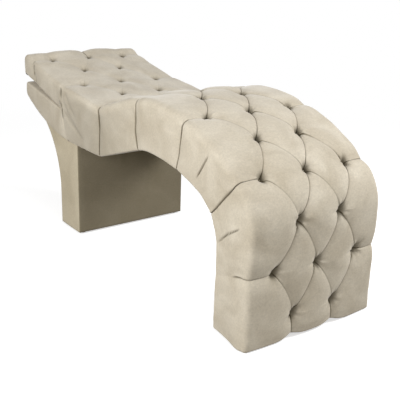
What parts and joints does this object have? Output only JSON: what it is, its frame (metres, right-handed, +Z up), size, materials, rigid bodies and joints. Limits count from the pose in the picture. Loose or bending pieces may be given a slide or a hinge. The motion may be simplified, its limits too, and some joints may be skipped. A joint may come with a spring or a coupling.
{
  "type": "treatment bed",
  "caption": "Wave-shaped upholstered treatment bed with a buttoned, tufted top, a foot block, a flared pedestal and a headrest that tilts up on friction hinges.",
  "frame": {"origin": "on the floor, under the middle of the bed", "axes": "+Y runs along the bed to the head end, +Z up, +X to the right seen from the foot"},
  "size_m": [0.6, 1.7751, 0.7639],
  "materials": {
    "foam": "beige brushed suede cloth over foam",
    "cover": "beige brushed suede cloth, stretched flat",
    "button": "cloth-covered button",
    "twine": "waxed twine",
    "plywood": "raw birch plywood",
    "softwood": "sawn pine",
    "steel": "zinc plated",
    "glide": "matt moulded plastic"
  },
  "bodies": {
    "bed": {"body_pad": "foam", "side_pad_left": "foam", "side_pad_right": "foam", "fold_foam": "foam", "body_buttons": "button", "body_twines": "twine", "under_cloth": "cover", "platform_cover": "cover", "foot_board": "plywood", "seat_deck": "plywood", "under_lining": "plywood", "side_panel_left": "plywood", "side_panel_right": "plywood", "deck_rails": "softwood", "lining_rails": "softwood", "pedestal_rails": "softwood", "fold_board": "plywood", "platform_board": "plywood", "head_end_board": "plywood", "base_cover": "cover", "base_side_left": "plywood", "base_side_right": "plywood", "base_front_board": "plywood", "base_back_panel": "plywood", "base_floor": "plywood", "base_top_board": "plywood", "pedestal_bolts": "steel", "pedestal_washers": "steel", "tee_nuts": "steel", "foot_glides": "glide", "base_glides": "glide", "glide_screws": "steel", "hinge_fixed_leaves": "steel", "hinge_fixed_screws": "steel", "hinge_bolts": "steel", "hinge_nuts": "steel", "hinge_washers": "steel"},
    "headrest": {"headrest_pad": "foam", "headrest_board": "plywood", "headrest_cloth": "cover", "headrest_buttons": "button", "headrest_twines": "twine", "hinge_moving_leaves": "steel", "hinge_moving_screws": "steel"}
  },
  "joints": [
    {"name": "headrest_tilt", "type": "hinge", "parent": "bed", "child": "headrest", "pos_m": [0, 0.49635, 0.57296], "axis": [1, 0, 0], "range_deg": [-4.9, 35], "deforming": ["fold_foam"]}
  ]
}
